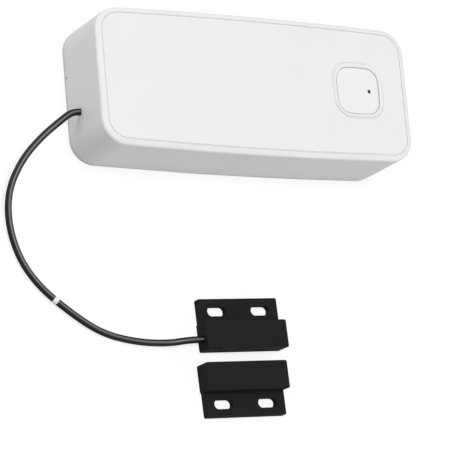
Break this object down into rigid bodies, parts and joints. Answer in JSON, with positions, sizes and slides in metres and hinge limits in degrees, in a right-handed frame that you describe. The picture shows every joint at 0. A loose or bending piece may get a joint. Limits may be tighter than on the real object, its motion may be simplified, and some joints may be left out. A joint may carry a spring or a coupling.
{
  "type": "door and window sensor",
  "caption": "Flat white battery radio unit with a button, and a two-piece black wired reed contact and magnet with slotted flanges.",
  "frame": {"origin": "centre of the wall plate's back face, the face that goes on the wall", "axes": "+Z out of the wall through the front panel, +X from the cable end to the button end of the box, +Y away from the contacts"},
  "size_m": [0.1341, 0.1236, 0.0248],
  "materials": {
    "white_case": "white moulded plastic, fine satin texture",
    "white_panel": "white moulded plastic, fine satin texture",
    "white_button": "white moulded plastic, satin",
    "white_plate": "white moulded plastic, satin",
    "white_clamp": "white moulded plastic",
    "smoked_light_pipe": "smoked clear plastic, polished",
    "foam_tape": "double-sided foam tape with its paper liner",
    "green_board": "solder mask over glass laminate",
    "blue_board": "solder mask over glass laminate",
    "plated_steel": "zinc plated",
    "black_switch": "moulded nylon",
    "white_plunger": "moulded nylon",
    "led_lens": "clear resin",
    "tinned_shield": "tinned sheet steel",
    "antenna_strip": "stamped strip",
    "chip_resin": "moulded resin",
    "crystal_can": "drawn metal can",
    "black_holder": "moulded nylon",
    "battery_sleeve": "plain shrink sleeve",
    "nickel_spring": "nickel plated strip",
    "terminal_green": "moulded nylon",
    "cable_jacket": "smooth glossy black jacket",
    "core_insulation": "thin coloured insulation",
    "white_marker": "thin white sleeve",
    "black_contact": "black moulded plastic, fine satin texture",
    "tinned_wire": "tinned wire",
    "reed_glass": "clear glass tube",
    "potting_compound": "cast resin",
    "magnet_alloy": "sintered magnet"
  },
  "bodies": {
    "root": {"wall_plate": "white_plate", "adhesive_pads": "foam_tape", "cable": "cable_jacket", "cable_marker": "white_marker", "reed_housing": "black_contact", "reed_lead": "cable_jacket", "reed_wires": "tinned_wire", "reed_blades": "tinned_wire", "reed_glass": "reed_glass", "reed_potting": "potting_compound"},
    "unit": {"case": "white_case", "front_panel": "white_panel", "circuit_board": "green_board", "board_screws": "plated_steel", "tact_switch": "black_switch", "status_led": "led_lens", "radio_board": "blue_board", "radio_shield": "tinned_shield", "antenna": "antenna_strip", "microcontroller": "chip_resin", "crystal": "crystal_can", "battery_holder": "black_holder", "battery_1": "battery_sleeve", "battery_2": "battery_sleeve", "battery_springs": "nickel_spring", "battery_plates": "nickel_spring", "terminal_block": "terminal_green", "terminal_screws": "plated_steel", "inner_lead": "cable_jacket", "lead_cores": "core_insulation", "lead_clamp": "white_clamp", "clamp_screws": "plated_steel"},
    "button": {"button_cap": "white_button", "light_pipe": "smoked_light_pipe"},
    "plunger": {"switch_plunger": "white_plunger"},
    "magnet": {"magnet_housing": "black_contact", "bar_magnet": "magnet_alloy", "magnet_potting": "potting_compound"}
  },
  "joints": [
    {"name": "unit_lift", "type": "slide", "parent": "root", "child": "unit", "axis": [0, 0, 1], "range_m": [0, 0.015]},
    {"name": "button_press", "type": "slide", "parent": "unit", "child": "button", "axis": [0, 0, -1], "range_m": [0, 0.0003], "stiffness_N_per_m": 300, "springref_m": -0.0005},
    {"name": "plunger_press", "type": "slide", "parent": "unit", "child": "plunger", "axis": [0, 0, -1], "range_m": [0, 0.0003]},
    {"name": "magnet_slide", "type": "slide", "parent": "root", "child": "magnet", "axis": [0.0436, -0.999, 0], "range_m": [0, 0.06]}
  ],
  "couplings": [
    {"joint": "plunger_press", "follows": "button_press", "ratio": 1}
  ]
}
